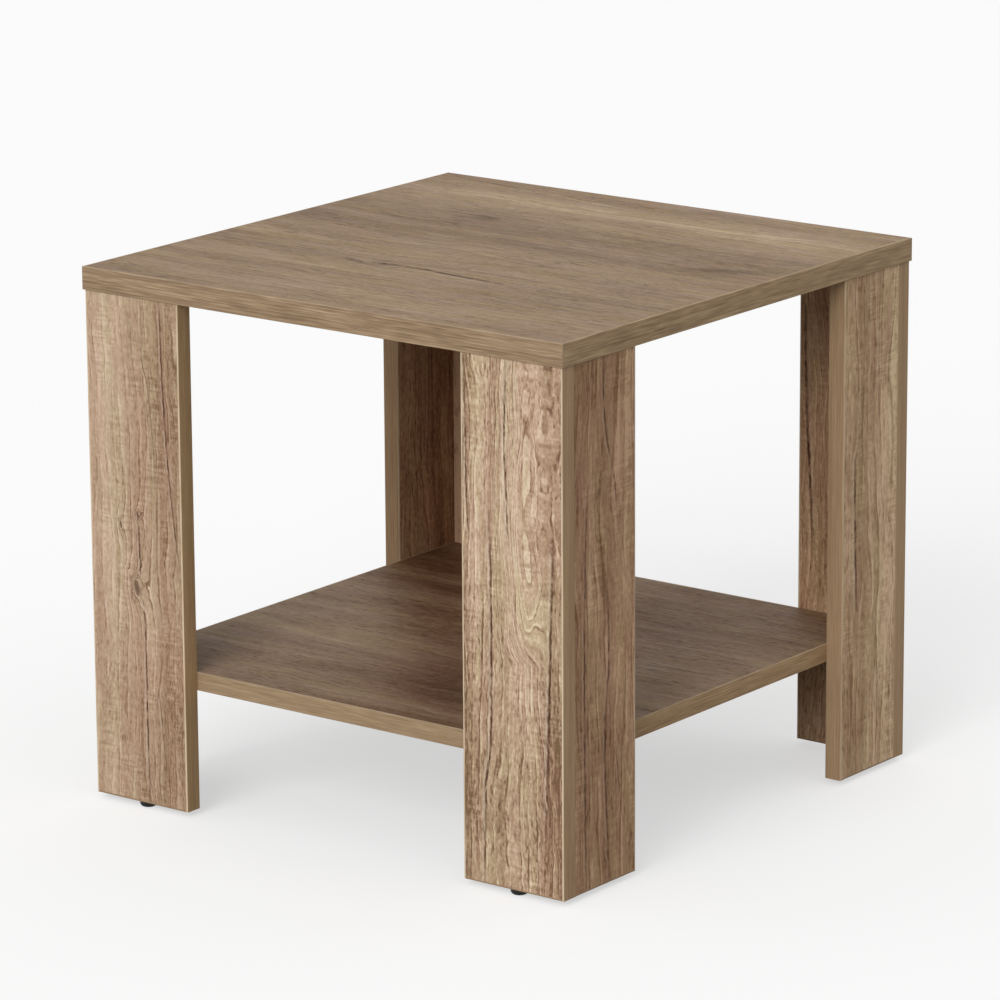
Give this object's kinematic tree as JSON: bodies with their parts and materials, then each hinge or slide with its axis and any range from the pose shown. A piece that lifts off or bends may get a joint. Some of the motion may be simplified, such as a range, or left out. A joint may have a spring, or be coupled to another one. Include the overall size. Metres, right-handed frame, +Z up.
{
  "type": "coffee table",
  "caption": "Square coffee table of oak-decor board with a flat top, L-shaped corner legs and a lower shelf held between them.",
  "frame": {"origin": "on the floor under the middle of the top", "axes": "+X to the right along the front, +Y to the back, +Z up"},
  "size_m": [0.5, 0.5, 0.465],
  "materials": {
    "oak_decor_board": "embossed oak-decor melamine, satin",
    "oak_decor_band": "straight-grained oak-decor edge band, satin",
    "black_glide": "moulded, matt",
    "zinc_cam": "die-cast zinc, tumbled",
    "plated_bolt": "zinc-plated steel",
    "beech_dowel": "turned beech",
    "hardboard_tongue": "hardboard strip"
  },
  "bodies": {
    "root": {"tabletop_panel": "oak_decor_board", "shelf_panel": "oak_decor_board", "leg_front_left_face_board": "oak_decor_board", "leg_front_left_side_board": "oak_decor_board", "leg_front_right_face_board": "oak_decor_board", "leg_front_right_side_board": "oak_decor_board", "leg_back_left_face_board": "oak_decor_board", "leg_back_left_side_board": "oak_decor_board", "leg_back_right_face_board": "oak_decor_board", "leg_back_right_side_board": "oak_decor_board", "tabletop_edge_front": "oak_decor_band", "tabletop_edge_back": "oak_decor_band", "tabletop_edge_left": "oak_decor_band", "tabletop_edge_right": "oak_decor_band", "shelf_edge_front": "oak_decor_band", "shelf_edge_back": "oak_decor_band", "shelf_edge_left": "oak_decor_band", "shelf_edge_right": "oak_decor_band", "leg_front_left_face_edge_outer": "oak_decor_band", "leg_front_left_face_edge_inner": "oak_decor_band", "leg_front_left_side_edge": "oak_decor_band", "leg_front_left_face_foot": "oak_decor_band", "leg_front_left_side_foot": "oak_decor_band", "leg_front_right_face_edge_outer": "oak_decor_band", "leg_front_right_face_edge_inner": "oak_decor_band", "leg_front_right_side_edge": "oak_decor_band", "leg_front_right_face_foot": "oak_decor_band", "leg_front_right_side_foot": "oak_decor_band", "leg_back_left_face_edge_outer": "oak_decor_band", "leg_back_left_face_edge_inner": "oak_decor_band", "leg_back_left_side_edge": "oak_decor_band", "leg_back_left_face_foot": "oak_decor_band", "leg_back_left_side_foot": "oak_decor_band", "leg_back_right_face_edge_outer": "oak_decor_band", "leg_back_right_face_edge_inner": "oak_decor_band", "leg_back_right_side_edge": "oak_decor_band", "leg_back_right_face_foot": "oak_decor_band", "leg_back_right_side_foot": "oak_decor_band", "foot_glides": "black_glide", "top_cams": "zinc_cam", "shelf_cams": "zinc_cam", "top_cam_bolts": "plated_bolt", "shelf_cam_bolts": "plated_bolt", "top_dowels": "beech_dowel", "corner_tongues": "hardboard_tongue"}
  },
  "joints": []
}
